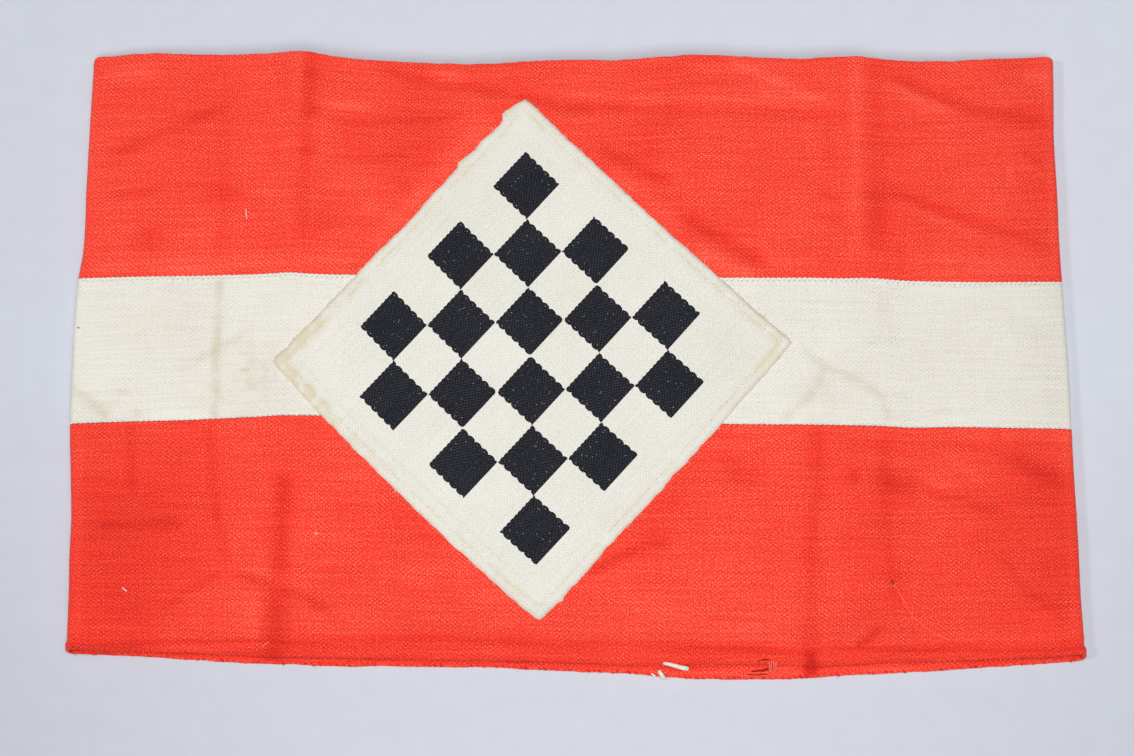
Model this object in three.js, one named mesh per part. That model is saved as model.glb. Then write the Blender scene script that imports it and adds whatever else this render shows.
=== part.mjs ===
// A striped cloth armband lying flat: a sleeve of three strips joined edge to edge, open at both rims,
// and a square patch with turned edges sewn corner up on its upper layer.
//
// Millimetres, +Z up. The under layer rests on Z = 0 and the origin is under the middle of the sleeve.
// X runs from fold to fold and Y from the lower rim to the upper rim.
import * as THREE from 'three';

// The sleeve.
const cloth = 1; // thickness of one layer
const seamGap = 0.3; // running gap between neighbouring strips, and under the patch
const foldHeight = 3.4; // outside height of the pressed fold at each side
const crown = 4.6; // how far the upper layer arches above the folds
const crownPower = 5; // how flat the arch is in the middle
const hemDepth = 4.6; // width of the hem turned up inside the lower rim
const hemPly = 0.5; // how far the hem stands in from the wall
const hemStep = 0.8; // length over which the hem's thickness runs out
const underRimSetback = 1.5; // how far the under layer's upper rim lies behind the upper layer's

// The patch.
const patchThickness = 1;
const turnedEdge = 4.6; // width of the edge turned under
const turnedPly = 0.3; // how far the turned edge stands above the middle
const edgeRound = 0.6; // width of the turned edge's rounding
const edgeDrop = 0.5; // how far the rounding drops at the very edge

// How finely the surfaces are divided.
const underSteps = 12;
const upperSteps = 38;
const foldSteps = 6;
const patchFieldSteps = 10;

const red = 0xf0452f;
const cream = 0xe8e3d6;

// Lines that run across the sleeve, from the left fold to the right one. At each x: the upper layer's two
// rims, the two lines where the strips meet, and the lower rim of the under layer.
const acrossRows = [
  { x: -109, upperRim: 67.9, upperSeam: 17.2, lowerSeam: -14.9, lowerRim: -63.6, underLowerRim: -64.2 },
  { x: -92, upperRim: 68.3, upperSeam: 17.5, lowerSeam: -14.4, lowerRim: -63.9, underLowerRim: -64.8 },
  { x: -62, upperRim: 69.2, upperSeam: 18.4, lowerSeam: -13.2, lowerRim: -64.9, underLowerRim: -66.4 },
  { x: -46, upperRim: 67.6, upperSeam: 18.1, lowerSeam: -13.5, lowerRim: -65.2, underLowerRim: -66.6 },
  { x: -19, upperRim: 65.8, upperSeam: 17.9, lowerSeam: -14.1, lowerRim: -65.6, underLowerRim: -67.2 },
  { x: 10, upperRim: 67.7, upperSeam: 17.7, lowerSeam: -14.6, lowerRim: -66.4, underLowerRim: -68.0 },
  { x: 38, upperRim: 68.6, upperSeam: 17.6, lowerSeam: -14.9, lowerRim: -66.2, underLowerRim: -69.2 },
  { x: 60, upperRim: 68.8, upperSeam: 17.7, lowerSeam: -15.2, lowerRim: -66.3, underLowerRim: -68.5 },
  { x: 76, upperRim: 67.3, upperSeam: 16.8, lowerSeam: -15.4, lowerRim: -65.3, underLowerRim: -67.5 },
  { x: 109, upperRim: 68.1, upperSeam: 16.9, lowerSeam: -15.7, lowerRim: -63.9, underLowerRim: -65.0 },
];

// Where the two folds lie, from the lower rim up to the upper one.
const foldRows = [
  { y: -66, left: -107.6, right: 109.3 },
  { y: -42, left: -108.0, right: 108.8 },
  { y: -26, left: -108.8, right: 108.3 },
  { y: -5, left: -109.3, right: 108.2 },
  { y: 10, left: -109.3, right: 107.9 },
  { y: 24, left: -108.4, right: 107.6 },
  { y: 43, left: -107.9, right: 107.4 },
  { y: 68, left: -107.8, right: 107.8 },
];

// Creases and billows of the upper layer: each rises or dips along a line and fades out to the sides.
const creaseRows = [
  { fromX: -60.3, fromY: 75, toX: -67, toY: -75, rise: 0.6, halfWidth: 6 },
  { fromX: -78, fromY: 75, toX: -77, toY: -40, rise: -0.35, halfWidth: 6 },
  { fromX: 64.5, fromY: 75, toX: 68, toY: -75, rise: 0.6, halfWidth: 6 },
  { fromX: 51, fromY: -24, toX: 48.5, toY: -75, rise: -0.4, halfWidth: 6 },
  { fromX: -46, fromY: 63.5, toX: 2, toY: 57, rise: -0.5, halfWidth: 7 },
  { fromX: 2, fromY: 57, toX: 48, toY: 55, rise: -0.3, halfWidth: 6 },
  { fromX: 66, fromY: 64, toX: 96, toY: 50, rise: -0.4, halfWidth: 6 },
  { fromX: -92, fromY: -58, toX: -73, toY: -46, rise: -0.35, halfWidth: 6 },
  { fromX: -73, fromY: -46, toX: -50, toY: -56, rise: -0.35, halfWidth: 6 },
  { fromX: 74, fromY: -28, toX: 102, toY: -45, rise: 0.35, halfWidth: 7 },
];

// The patch's corners, seen from above.
const patchCorners = {
  top: { x: -10.7, y: 57.2 },
  right: { x: 46.9, y: 2.0 },
  bottom: { x: -6.5, y: -57.0 },
  left: { x: -63.5, y: -1.2 },
};

const { lerp, smoothstep } = THREE.MathUtils;

// Reads one column of a table of rows at a place between its first and last row, easing from row to row.
function readRows(rows, key, column, place) {
  const next = Math.max(1, rows.findIndex((row) => row[key] >= place));
  const high = place > rows[rows.length - 1][key] ? rows[rows.length - 1] : rows[next];
  const low = high === rows[next] ? rows[next - 1] : high;
  return lerp(low[column], high[column], smoothstep(place, low[key], high[key]));
}

const across = (column, x) => readRows(acrossRows, 'x', column, x);
const foldAt = (side, y) => readRows(foldRows, 'y', side, y);

// Bell-shaped rise or dip of one crease at a point of the plan.
function creaseHeight(crease, x, y) {
  const line = new THREE.Line3(
    new THREE.Vector3(crease.fromX, crease.fromY, 0),
    new THREE.Vector3(crease.toX, crease.toY, 0),
  );
  const point = new THREE.Vector3(x, y, 0);
  const distance = line.closestPointToPoint(point, true, new THREE.Vector3()).distanceTo(point);
  return crease.rise * Math.exp(-((distance / crease.halfWidth) ** 2));
}

// Height of the upper layer's outer face: the pressed folds, the arch between them and the creases on it.
function upperHeight(x, y) {
  const halfWidth = foldAt(x < 0 ? 'left' : 'right', y);
  const arch = 1 - Math.min(1, Math.abs(x / halfWidth)) ** crownPower;
  const creases = creaseRows.reduce((sum, crease) => sum + creaseHeight(crease, x, y), 0);
  return foldHeight + arch * (crown + creases);
}

// The stations round the loop, counter-clockwise seen from the lower rim: under layer, right fold, upper
// layer, left fold. 'lift' is 0 on the under layer and 1 on the upper one.
function loopStations() {
  const stations = [];
  for (let i = 0; i < underSteps; i += 1) {
    stations.push({ part: 'under', along: i / underSteps, lift: 0 });
  }
  for (let i = 0; i < foldSteps; i += 1) {
    const angle = Math.PI * (i / foldSteps - 0.5);
    stations.push({ part: 'right', angle, along: 1, lift: (1 + Math.sin(angle)) / 2 });
  }
  for (let i = 0; i < upperSteps; i += 1) {
    stations.push({ part: 'upper', along: 1 - i / upperSteps, lift: 1 });
  }
  for (let i = 0; i < foldSteps; i += 1) {
    const angle = Math.PI * (i / foldSteps + 0.5);
    stations.push({ part: 'left', angle, along: 0, lift: (1 + Math.sin(angle)) / 2 });
  }
  return stations;
}

// A point of the sleeve's wall at a station and a height up the sleeve, 'inset' in from the outer face.
function wallPoint(station, y, inset) {
  const radius = foldHeight / 2;
  const leftX = foldAt('left', y) + radius;
  const rightX = foldAt('right', y) - radius;
  const x = lerp(leftX, rightX, station.along);
  if (station.part === 'under') return new THREE.Vector3(x, y, inset);
  if (station.part === 'upper') return new THREE.Vector3(x, y, upperHeight(x, y) - inset);
  const reach = radius - inset;
  return new THREE.Vector3(
    x + reach * Math.cos(station.angle),
    y,
    radius + reach * Math.sin(station.angle),
  );
}

// Height up the sleeve of each named line at a station.
const sleeveLines = {
  lowerRim: ({ x, lift }) => lerp(across('underLowerRim', x), across('lowerRim', x), lift),
  lowerSeam: ({ x }) => across('lowerSeam', x),
  upperSeam: ({ x }) => across('upperSeam', x),
  upperRim: ({ x, lift }) => across('upperRim', x) - (1 - lift) * underRimSetback,
};

// A closed body from a grid of outer points and one of inner points. The grid's columns close on themselves
// for a ring, and stay open for a slab, which then gets side walls.
function solidFromGrids(outer, inner, closedLoop) {
  const rows = outer.length;
  const columns = outer[0].length;
  const positions = [...outer.flat(), ...inner.flat()].flatMap((point) => point.toArray());
  const indices = [];
  const at = (layer, row, column) => (layer * rows + row) * columns + (column % columns);
  const quad = (a, b, c, d) => indices.push(a, b, c, a, c, d);
  const lastColumn = closedLoop ? columns : columns - 1;
  for (let row = 0; row < rows - 1; row += 1) {
    for (let column = 0; column < lastColumn; column += 1) {
      quad(at(0, row, column), at(0, row + 1, column), at(0, row + 1, column + 1), at(0, row, column + 1));
      quad(at(1, row, column), at(1, row, column + 1), at(1, row + 1, column + 1), at(1, row + 1, column));
    }
  }
  for (let column = 0; column < lastColumn; column += 1) {
    quad(at(0, 0, column), at(0, 0, column + 1), at(1, 0, column + 1), at(1, 0, column));
    quad(
      at(0, rows - 1, column),
      at(1, rows - 1, column),
      at(1, rows - 1, column + 1),
      at(0, rows - 1, column + 1),
    );
  }
  if (!closedLoop) {
    for (let row = 0; row < rows - 1; row += 1) {
      quad(at(0, row, 0), at(1, row, 0), at(1, row + 1, 0), at(0, row + 1, 0));
      quad(
        at(0, row, columns - 1),
        at(0, row + 1, columns - 1),
        at(1, row + 1, columns - 1),
        at(1, row, columns - 1),
      );
    }
  }
  const geometry = new THREE.BufferGeometry();
  geometry.setAttribute('position', new THREE.Float32BufferAttribute(positions, 3));
  geometry.setIndex(indices);
  geometry.computeVertexNormals();
  return geometry;
}

// One strip of the sleeve between two of its lines. Each row is a share of the way up, an added distance in
// millimetres from the lower line, and the wall's thickness there.
function stripGeometry(lowerLine, upperLine, rows) {
  const halfWidth = acrossRows[acrossRows.length - 1].x;
  const stations = loopStations().map((station) => ({
    ...station,
    x: lerp(-halfWidth, halfWidth, station.along),
  }));
  const gridAt = (insetOf) =>
    rows.map((row) =>
      stations.map((station) => {
        const low = lowerLine(station);
        const high = upperLine(station);
        return wallPoint(station, lerp(low, high, row.share) + row.offset, insetOf(row));
      }),
    );
  return solidFromGrids(
    gridAt(() => 0),
    gridAt((row) => row.wall),
    true,
  );
}

// Evenly spread rows of one wall thickness, from a first share up to the strip's upper line.
function evenRows(steps, fromShare = 0) {
  return Array.from({ length: steps + 1 }, (_, i) => ({
    share: lerp(fromShare, 1, i / steps),
    offset: 0,
    wall: cloth,
  }));
}

// The lower strip starts with its hem, whose ply runs out over a short step.
function hemmedRows(steps) {
  const hem = [
    { share: 0, offset: 0, wall: cloth + hemPly },
    { share: 0, offset: hemDepth - hemStep, wall: cloth + hemPly },
    { share: 0, offset: hemDepth, wall: cloth },
  ];
  return [...hem, ...evenRows(steps, 0.22)];
}

// Places along one side of the patch, as shares: the rounding, the turned edge and the middle between them.
function patchStations() {
  const side = Math.hypot(
    patchCorners.right.x - patchCorners.top.x,
    patchCorners.right.y - patchCorners.top.y,
  );
  const edge = [0, edgeRound, turnedEdge].map((distance) => distance / side);
  const fieldStart = (turnedEdge + turnedPly) / side;
  const field = Array.from({ length: patchFieldSteps + 1 }, (_, i) =>
    lerp(fieldStart, 1 - fieldStart, i / patchFieldSteps),
  );
  return [...edge, ...field, ...edge.map((share) => 1 - share).reverse()];
}

// The patch lies on the upper layer with the seam gap under it, and is thicker where its edge is turned.
function patchGeometry() {
  const stations = patchStations();
  const { top, right, bottom, left } = patchCorners;
  const edgeShare = stations[1];
  const turnedShare = stations[2];
  const thicknessAt = (a, b) => {
    const fromEdge = Math.min(a, 1 - a, b, 1 - b);
    if (fromEdge < edgeShare / 2) return patchThickness + turnedPly - edgeDrop;
    return fromEdge < turnedShare * 1.01 ? patchThickness + turnedPly : patchThickness;
  };
  const gridAt = (heightOf) =>
    stations.map((b) =>
      stations.map((a) => {
        const x = lerp(lerp(bottom.x, right.x, a), lerp(left.x, top.x, a), b);
        const y = lerp(lerp(bottom.y, right.y, a), lerp(left.y, top.y, a), b);
        return new THREE.Vector3(x, y, upperHeight(x, y) + seamGap + heightOf(a, b));
      }),
    );
  return solidFromGrids(
    gridAt(() => 0),
    gridAt(thicknessAt),
    false,
  );
}

function part(name, geometry, color) {
  const material = new THREE.MeshStandardMaterial({ color, roughness: 0.9, metalness: 0 });
  const mesh = new THREE.Mesh(geometry, material);
  mesh.name = name;
  return mesh;
}

// A sleeve line moved up or down by half the gap between two strips.
const shifted = (line, by) => (station) => line(station) + by;
const { lowerRim, lowerSeam, upperSeam, upperRim } = sleeveLines;
const half = seamGap / 2;

const armband = new THREE.Group();
armband.add(
  part('lower_strip', stripGeometry(lowerRim, shifted(lowerSeam, -half), hemmedRows(7)), red),
  part('middle_strip', stripGeometry(shifted(lowerSeam, half), shifted(upperSeam, -half), evenRows(5)), cream),
  part('upper_strip', stripGeometry(shifted(upperSeam, half), upperRim, evenRows(8)), red),
  part('patch', patchGeometry(), cream),
);

export default armband;
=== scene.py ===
import math

import bpy
import numpy as np
from mathutils import Matrix, Vector


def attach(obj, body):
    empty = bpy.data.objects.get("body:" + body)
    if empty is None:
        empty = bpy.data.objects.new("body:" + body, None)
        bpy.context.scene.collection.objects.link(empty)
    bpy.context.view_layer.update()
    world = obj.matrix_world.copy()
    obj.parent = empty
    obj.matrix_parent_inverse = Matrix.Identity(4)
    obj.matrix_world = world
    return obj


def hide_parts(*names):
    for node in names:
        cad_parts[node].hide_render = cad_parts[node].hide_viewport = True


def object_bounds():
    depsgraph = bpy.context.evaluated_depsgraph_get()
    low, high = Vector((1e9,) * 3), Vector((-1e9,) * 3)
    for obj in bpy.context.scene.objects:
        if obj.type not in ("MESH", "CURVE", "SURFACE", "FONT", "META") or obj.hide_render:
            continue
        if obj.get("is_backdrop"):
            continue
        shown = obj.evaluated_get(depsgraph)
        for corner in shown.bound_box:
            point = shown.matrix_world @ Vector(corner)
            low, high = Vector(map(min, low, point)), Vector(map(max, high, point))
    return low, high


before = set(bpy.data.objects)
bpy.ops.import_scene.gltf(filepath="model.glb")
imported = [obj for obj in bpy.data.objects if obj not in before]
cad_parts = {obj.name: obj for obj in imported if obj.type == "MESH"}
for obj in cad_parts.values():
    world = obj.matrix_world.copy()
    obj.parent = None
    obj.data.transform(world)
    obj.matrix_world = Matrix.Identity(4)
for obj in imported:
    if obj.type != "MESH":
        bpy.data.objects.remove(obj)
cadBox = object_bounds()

print("frame loaded with", len(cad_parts), "solids")
mm = 0.001  # everything below is in millimetres until it goes into a mesh

# The sleeve: a flattened loop of cloth, under layer on the floor, upper layer arched a little above it
sleeve = {
    "thickness": 0.55,
    "foldRadius": 1.7,
    "span": 213.5,  # cloth between the two pressed folds, in one layer
    "crown": 4.6,  # how far the upper layer arches above the folds
    "crownPower": 5,
    "rimHeight": 2.1,  # of the upper layer at the lower rim, where it lies on the under layer
    "rimReach": 11.0,
    "underSetback": 1.5,  # the under layer's upper rim lies this far back
    "underHem": 4.2,  # depth of the hem on the under layer
    "seamGap": 0.03,
    "weltWidth": 0.66,  # turned edge of the white strip along the upper joint
    "weltRise": 0.16,
    "hemRise": 0.3,
}

# Where the folds lie, from the lower rim to the upper one
foldLines = {
    "y": [-64, -50, -44, -35, -27, -14, -5, 7, 17, 22, 38, 51, 59, 68.5],
    "left": [
        -107.9, -108.0, -108.2, -108.2, -108.7, -109.5, -109.6,
        -109.6, -109.2, -108.5, -108.3, -108.2, -108.1, -107.9,
    ],
    "right": [
        109.6, 109.1, 109.1, 109.0, 108.8, 108.7, 108.6,
        108.3, 108.0, 107.8, 107.7, 107.5, 107.8, 108.0,
    ],
}

# The rims and the strips' joints, from the left fold to the right one
rimLines = {
    "x": [-108, -95, -83, -70, -61, -54, -38, -30, -21, -12, -3, 10, 28, 41, 52, 59, 66, 73, 84, 95, 108],
    "top": [
        67.9, 68.1, 67.4, 67.5, 67.9, 66.8, 65.5, 65.3, 65.2, 65.6, 66.0,
        66.0, 67.3, 66.9, 66.6, 67.2, 67.1, 66.5, 66.5, 67.4, 68.7,
    ],
    "upperSeam": [
        17.2, 17.1, 17.1, 17.3, 17.6, 17.3, 17.2, 17.1, 17.0, 16.9, 16.9,
        16.9, 16.8, 16.8, 16.9, 16.8, 16.9, 16.4, 16.3, 16.5, 17.1,
    ],
    "lowerSeam": [
        -15.0, -14.8, -14.6, -14.1, -13.7, -13.7, -13.8, -14.0, -14.2, -14.4, -14.6,
        -14.9, -15.2, -15.3, -15.3, -15.4, -15.5, -15.8, -15.6, -15.6, -15.5,
    ],
    "hem": [
        -62.3, -62.3, -61.9, -61.5, -61.2, -60.9, -60.4, -60.2, -60.5, -60.9, -61.1,
        -61.3, -61.8, -62.3, -62.7, -62.8, -62.9, -63.0, -63.0, -62.8, -62.4,
    ],
    "upperEdge": [
        -63.5, -63.8, -64.1, -64.6, -65.0, -65.0, -65.2, -65.4, -65.5, -65.6, -65.8,
        -66.3, -66.2, -66.1, -66.4, -66.0, -65.6, -65.4, -65.1, -64.6, -63.9,
    ],
    "underEdge": [
        -64.5, -64.9, -65.6, -66.3, -66.5, -66.8, -66.8, -66.9, -66.9, -67.3, -67.7,
        -68.2, -69.3, -69.3, -68.9, -68.4, -68.1, -67.7, -66.9, -66.2, -65.2,
    ],
}

# Pressed creases and wrinkles: width, rise, tone, soil, the distance over which its ends fade, then the
# points of its path. Each lifts or dips the upper layer by its rise, lightens or darkens it by its tone,
# which is painted light and shade along the crease, and yellows it by its soil
creases = [
    (2, 0.6, 0, 0, 7, (-60.8, 70), (-61.6, 30), (-61.8, 5)),
    (1.7, -0.2, -0.14, 0, 7, (-58.4, 76), (-58.2, 50)), (1.4, -0.1, -0.11, 0, 7, (-58.4, 54), (-59.3, 24)),
    (2, 0.55, 0, 0, 7, (-62.2, 5), (-64.2, -27), (-66.2, -68)),
    (2, -0.25, -0.25, 0, 4, (-61.5, -25), (-62, -50)),
    (2.8, -0.25, -0.28, 0, 4, (-62.3, -49), (-64.6, -76)),
    (1.6, -0.25, -0.05, 0, 7, (-77.2, 64), (-76.6, 17)),
    (1, -0.12, -0.1, 0.42, 1, (-76.9, 16.8), (-77, -14.6)),
    (1.2, -0.2, -0.1, 0, 2, (-78.1, -14.5), (-76.8, -28.4), (-73.2, -46)),
    (1.4, 0.3, 0, 0, 7, (-72.9, -45.2), (-81.7, -49.6), (-88.5, -55.2)),
    (0.8, -0.15, -0.15, 0, 7, (-72, -46.2), (-81.4, -50.9), (-89.5, -57)),
    (1.4, 0.35, 0, 0, 7, (-73.4, -45.2), (-65.9, -47.5), (-50.8, -53.8)),
    (1, -0.25, -0.19, 0, 7, (-74, -46.4), (-66, -49.3), (-59.8, -51.1), (-48.8, -56)),
    (1.2, -0.2, -0.18, 0, 3, (-103, -37.2), (-82, -37)),
    (1.2, -0.1, -0.12, 0, 3, (-95.5, -14), (-94.4, -31.5)), (9, -0.5, 0, 0, 7, (-22, 75), (-22, 62)),
    (1.1, -0.35, -0.19, 0, 7, (-45, 64.6), (-33.1, 61.1), (-19.7, 59.1), (-9.5, 57.5)),
    (1.4, -0.25, -0.17, 0, 3, (-13.5, 58), (-3, 55.2), (5.7, 54.4)),
    (1.1, -0.2, -0.11, 0, 7, (-5, 55.3), (14, 54.8), (27.9, 54.3), (66, 53.6)),
    (1.4, 0.2, 0.11, 0, 7, (-4, 57.1), (27.9, 57), (56, 57.1)),
    (1.5, -0.25, -0.19, 0, 4, (4.4, 46.4), (13.6, 41.9), (22.5, 37.2)),
    (1.7, -0.35, -0.22, 0, 5, (22, 31.6), (32.5, 25.2), (43.5, 18.9)),
    (2, 0.3, 0.17, 0, 4, (24.8, 23.6), (34.1, 19.1), (42, 16.6)),
    (1.4, -0.35, -0.2, 0, 7, (68, 64.4), (79, 58.5), (89, 55.3), (109, 53.2)),
    (1.5, 0.35, 0.15, 0, 7, (68, 61.2), (77.8, 56.8), (87.5, 53.9)),
    (1.6, 0.45, 0.11, 0, 7, (62.9, 76), (62.3, 45), (62, 20)),
    (2, -0.2, -0.09, 0, 7, (67.2, 76), (66.8, 20)),
    (1.4, -0.25, -0.17, 0, 7, (66, 38.2), (82.6, 31.2), (107, 24.4)),
    (1, -0.2, -0.12, 0.16, 3, (49, 2), (55.1, -3.1), (61.8, -5.7), (67.1, -9.8), (68.3, -15.3)),
    (0.9, -0.15, -0.12, 0.18, 3, (53.9, -1.5), (53.1, -7), (49.8, -10.3), (44, -14.9)),
    (1.8, -0.1, -0.08, 0.05, 7, (67.6, 16.5), (67.3, 3)),
    (1.1, -0.1, -0.1, 0.32, 2, (-110, -6.4), (-103.8, -11), (-99.6, -14.6)),
    (0.7, 0, -0.1, 0.4, 2, (-99.6, -8), (-94.6, -8.9)),
    (0.9, 0, -0.05, 0.4, 1, (-94.2, -11.8), (-93.8, -14.6)),
    (0.9, -0.08, -0.13, 0.24, 5, (-88, -3.2), (-80.7, -1.5), (-76.9, 0.8), (-69.6, 4.6)),
    (2.6, -0.2, -0.18, 0, 7, (91, -21.4), (106, -27.1), (109, -28.4)),
    (1.5, -0.2, -0.1, 0, 7, (76.2, -17.4), (93, -21.5), (106.5, -27.5)),
    (2.8, -0.3, -0.23, 0, 7, (62.5, -26), (69.3, -28.2), (76, -30)),
    (1.3, -0.2, -0.13, 0, 7, (72, -28.2), (82.8, -31.3), (94, -34.6)),
    (1.9, -0.3, -0.14, 0, 7, (52.6, -12), (52.2, -32), (50.9, -38), (50.4, -76)),
    (1.6, -0.2, -0.1, 0, 7, (67.2, -13), (66.9, -38), (69, -58)),
    (0.8, -0.3, -0.34, 0, 1, (60.4, -62.6), (66, -58.5)),
    (1.1, -0.25, -0.25, 0, 4, (1.5, -48.2), (11.4, -43.1), (16, -41.2), (22.4, -40.9)),
    (1.2, -0.15, -0.09, 0, 7, (-104.1, 45.2), (-89.2, 50.1), (-74.6, 56)),
    (1.5, 0.2, 0.05, 0, 7, (-53, 33.1), (-31.4, 29)),
]
# Marks of painted light and shade that change only the tone: width, tone, fade, then the points of the path
paintedShadeMarks = [
    (17, -0.12, 9, (-98, -24), (-100, -62)), (17, -0.12, 9, (97, -22), (101, -62)),
    (8, -0.06, 9, (63, -12), (62, -66)), (10, -0.05, 9, (-56, 48), (-22, 54)),
    (8, 0.05, 9, (8, -56), (46, -54)), (1.2, 0.08, 7, (-61, 76), (-60.9, 49.8)),
    (3.4, 0.12, 7, (-67.7, -48), (-67.3, -64)), (0.6, -0.08, 2, (57, 0.6), (62.5, 1.3), (66.2, 3.7)),
    (1.1, 0.11, 7, (73, -26.2), (84, -29.6)), (1, -0.3, 3, (50.9, -62), (50.6, -74)),
    (20, -0.1, 7, (-104, -75), (-98, -12)), (13, -0.06, 7, (103, -75), (104, 60)),
    (2.4, 0.11, 4, (-107.4, 19.7), (-46, 19.9)), (2, 0.11, 7, (-16.9, 54.1), (-46, 21)),
    (1.4, 0.14, 7, (-106.3, 63.7), (-89, 63.3)), (0.9, -0.12, 7, (-106.6, 59.6), (-88.9, 59.4)),
    (1.1, -0.14, 7, (-88.6, 51.4), (-75, 55.5)), (1.5, -0.12, 7, (-105.4, 44), (-89.8, 48.8)),
    (1, -0.12, 7, (-106.4, 35.2), (-88, 37)), (1.4, -0.14, 7, (-81.8, 36.4), (-69.5, 34.8)),
    (3.4, -0.12, 7, (-98.9, 25.8), (-87.6, 25.3)), (0.8, 0.11, 7, (-88.5, 26), (-76.7, 26.3)),
    (1.4, 0.16, 7, (-59.1, 56.3), (-42.3, 55)), (1.6, 0.15, 7, (-34, 63), (-22, 61.5)),
    (1, -0.1, 7, (-58.8, 42.3), (-32.8, 44)),
    (1.2, -0.11, 7, (-55.5, 52.6), (-48.2, 51.5), (-31.2, 52), (-22, 54.3)),
    (2, -0.13, 7, (-58, 64.6), (-57.9, 60.9)), (2.6, -0.16, 7, (-58.5, 55.8), (-56.8, 52.2)),
    (2, -0.13, 7, (-58.4, 46.7), (-58.3, 43)), (5, 0.08, 7, (-57.3, 37.1), (-38.4, 37.2)),
    (1.6, 0.1, 7, (-48.4, 32.9), (-39.2, 32.7)), (3.8, -0.09, 7, (-61.4, 28.3), (-49.6, 28.4)),
    (0.9, -0.14, 7, (-38.2, 37.9), (-34.2, 34.3)), (1.2, 0.15, 7, (31.2, 67.7), (49, 59.4), (60.7, 54.8)),
    (0.9, 0.11, 7, (23.6, 65.5), (36.2, 61.2), (47.9, 56.9)), (0.7, -0.12, 7, (28, 63.9), (43.9, 58.7)),
    (1.3, -0.1, 7, (-3, 55.5), (16.9, 55.2)), (2.8, -0.09, 7, (65.6, 41.2), (66.9, 21.8)),
    (1.2, -0.07, 7, (55.8, 56.2), (56.2, 39.3)), (1.2, -0.17, 7, (51.5, 36.8), (59.8, 33.9)),
    (1.2, -0.12, 7, (52.3, 31.4), (60.5, 28.5)), (1, 0.1, 7, (69.4, 35.1), (79.6, 30.4), (91.5, 25.9)),
    (2.8, 0.09, 4, (71.2, 20.3), (107.8, 20.4)), (1.5, 0.1, 7, (6.8, 41.9), (25.5, 26.8)),
    (1.2, -0.13, 7, (96.7, 48.3), (106.5, 41.5)), (0.7, 0.14, 7, (95.2, 44.2), (98, 37.4)),
    (0.9, -0.08, 7, (62.4, 51.6), (83.1, 51.5)), (0.9, -0.09, 7, (63.6, 47.8), (80.3, 47.4)),
    (1.8, 0.1, 3, (99, 63.7), (107.9, 63.7)), (0.8, 0.09, 7, (106.1, 68.8), (105.9, 16.6)),
    (1.3, -0.14, 7, (-76.3, -33.2), (-76, -36.6)), (0.7, -0.07, 7, (-63.1, -34), (-32.4, -33.9)),
    (1, -0.1, 7, (-32.3, -40.7), (-24.7, -40.7)), (0.9, 0.09, 7, (-107, -14.8), (-105.1, -63.6)),
    (4.5, -0.07, 7, (-103.5, -52.7), (-85.6, -57.7)), (1.2, -0.08, 7, (-58.3, -53), (-46.8, -57.5)),
    (2.4, -0.11, 7, (29.4, -23.6), (42.2, -28.3)), (1.5, -0.17, 7, (57.6, -25), (62.2, -28.2)),
    (1.3, 0.12, 7, (78.3, -21.1), (90.4, -28.4)),
    (1, -0.11, 7, (84, -42.4), (91.6, -43.2), (96.8, -50.8), (102.6, -54.4), (108.4, -57.1)),
    (1.1, 0.13, 2, (91.7, -17), (108.8, -17.5)), (1.2, 0.06, 3, (32.5, -16.3), (91.7, -17)),
    (0.8, 0.08, 7, (106.8, -14.1), (107.1, -62.9)),
]
creases += [(width, 0, tone, 0, fade, *path) for width, tone, fade, *path in paintedShadeMarks]

# Yellowed places on the sleeve: their middle, their reach each way and their amount
soiledPlaces = [
    ((-74, -8), (12, 7), 0.2), ((-67.5, -3), (4, 8), 0.28), ((-103, -12), (6, 3), 0.2),
    ((-70.7, -3.9), (0.9, 0.35), 1.0), ((-68.5, -7.1), (1.5, 0.9), 0.35), ((55, -8), (8, 7), 0.22),
    ((90, 2), (12, 12), 0.1), ((-92, 8), (10, 8), 0.12),
]
latticeSize = (97, 89)  # of the random values under the smooth noise


# Reads a column of a table of lines at any place: a cubic through its rows whose slope at each row follows
# from the neighbouring rows
def readLine(table, key, column, place):
    at, value = np.array(table[key], float), np.array(table[column], float)
    slope = np.gradient(value, at)
    place = np.clip(place, at[0], at[-1])
    low = np.clip(np.searchsorted(at, place) - 1, 0, len(at) - 2)
    step = at[low + 1] - at[low]
    t = (place - at[low]) / step
    return (
        (1 + 2 * t) * (1 - t) ** 2 * value[low]
        + t * (1 - t) ** 2 * step * slope[low]
        + t * t * (3 - 2 * t) * value[low + 1]
        + t * t * (t - 1) * step * slope[low + 1]
    )


def rimLine(name, x):
    return readLine(rimLines, "x", name, x)


# Smooth noise between -1 and 1: seeded random values on a lattice, eased between the four nearest ones
def softNoise(x, y, sizeX, sizeY, seed):
    lattice = np.random.default_rng(seed).uniform(-1, 1, latticeSize)
    gx, gy = x / sizeX, y / sizeY
    ix, iy = np.floor(gx).astype(int), np.floor(gy).astype(int)
    tx, ty = gx - ix, gy - iy
    tx, ty = tx * tx * (3 - 2 * tx), ty * ty * (3 - 2 * ty)
    corner = lambda dx, dy: lattice[(ix + dx) % latticeSize[0], (iy + dy) % latticeSize[1]]
    low = corner(0, 0) * (1 - tx) + corner(1, 0) * tx
    high = corner(0, 1) * (1 - tx) + corner(1, 1) * tx
    return low * (1 - ty) + high * ty


# Rises from 0 to 1 between two values, with level ends
def easeStep(value, low, high):
    t = np.clip((value - low) / (high - low), 0, 1)
    return t * t * (3 - 2 * t)


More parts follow.
